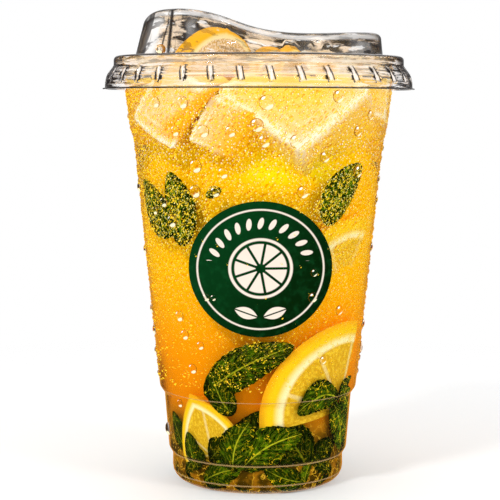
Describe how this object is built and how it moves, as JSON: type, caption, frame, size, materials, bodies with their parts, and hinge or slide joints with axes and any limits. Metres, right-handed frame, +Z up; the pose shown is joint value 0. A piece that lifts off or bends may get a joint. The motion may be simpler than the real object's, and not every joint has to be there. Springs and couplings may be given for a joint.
{
  "type": "iced citrus and mint drink in a clear lidded plastic cup",
  "caption": "Tall tapered clear plastic tumbler with a stepped base and a domed sip lid, filled with an orange iced drink with lemon, mint and ice, and a round green label.",
  "frame": {"origin": "middle of the base, on the surface that the cup stands on", "axes": "+Z up along the cup's axis, the lid's raised drinking spout towards -X, the round label facing -Y"},
  "size_m": [0.1046, 0.1046, 0.1582],
  "materials": {
    "clear_plastic": "clear, glossy, with cold condensation outside",
    "lid_plastic": "clear and glossy",
    "label_film": "satin dark green film with a cream print",
    "drink": "clear amber juice, paler at the top",
    "lemon": "wet citrus with a yellow rind",
    "ice": "cloudy wet ice"
  },
  "bodies": {
    "root": {"tumbler": "clear_plastic", "lid": "lid_plastic", "label": "label_film", "drink": "drink", "lemon_slice_spout": "lemon", "lemon_slice_middle": "lemon", "lemon_slice_back": "lemon", "ice_top": "ice"}
  },
  "joints": []
}
